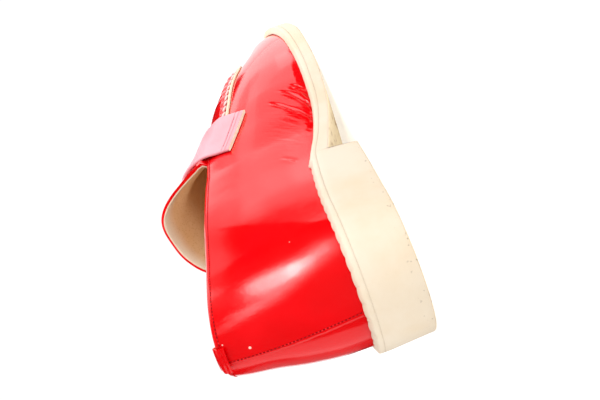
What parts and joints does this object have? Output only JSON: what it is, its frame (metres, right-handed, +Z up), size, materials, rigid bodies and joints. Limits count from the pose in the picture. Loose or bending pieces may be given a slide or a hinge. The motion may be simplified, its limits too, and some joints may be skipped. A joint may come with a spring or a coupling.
{
  "type": "loafer",
  "caption": "Left slip-on loafer in red glazed leather with a pink saddle strap, moccasin plug, toothed welt and a cream moulded sole with a long low block heel.",
  "frame": {"origin": "middle of the shoe's length and width, on the floor plane under the sole", "axes": "+X towards the toe, +Y towards the lateral side, +Z up from the floor"},
  "size_m": [0.2592, 0.087, 0.0874],
  "materials": {
    "sole_cream": "smooth satin",
    "welt_cream": "smooth satin",
    "insole_tan": "matt",
    "upper_red": "high gloss",
    "plug_red": "high gloss",
    "strap_pink": "satin",
    "tab_red": "gloss"
  },
  "bodies": {
    "root": {"outsole": "sole_cream", "welt": "welt_cream", "insole": "insole_tan", "upper": "upper_red", "plug": "plug_red", "strap": "strap_pink", "back_tab": "tab_red"}
  },
  "joints": []
}
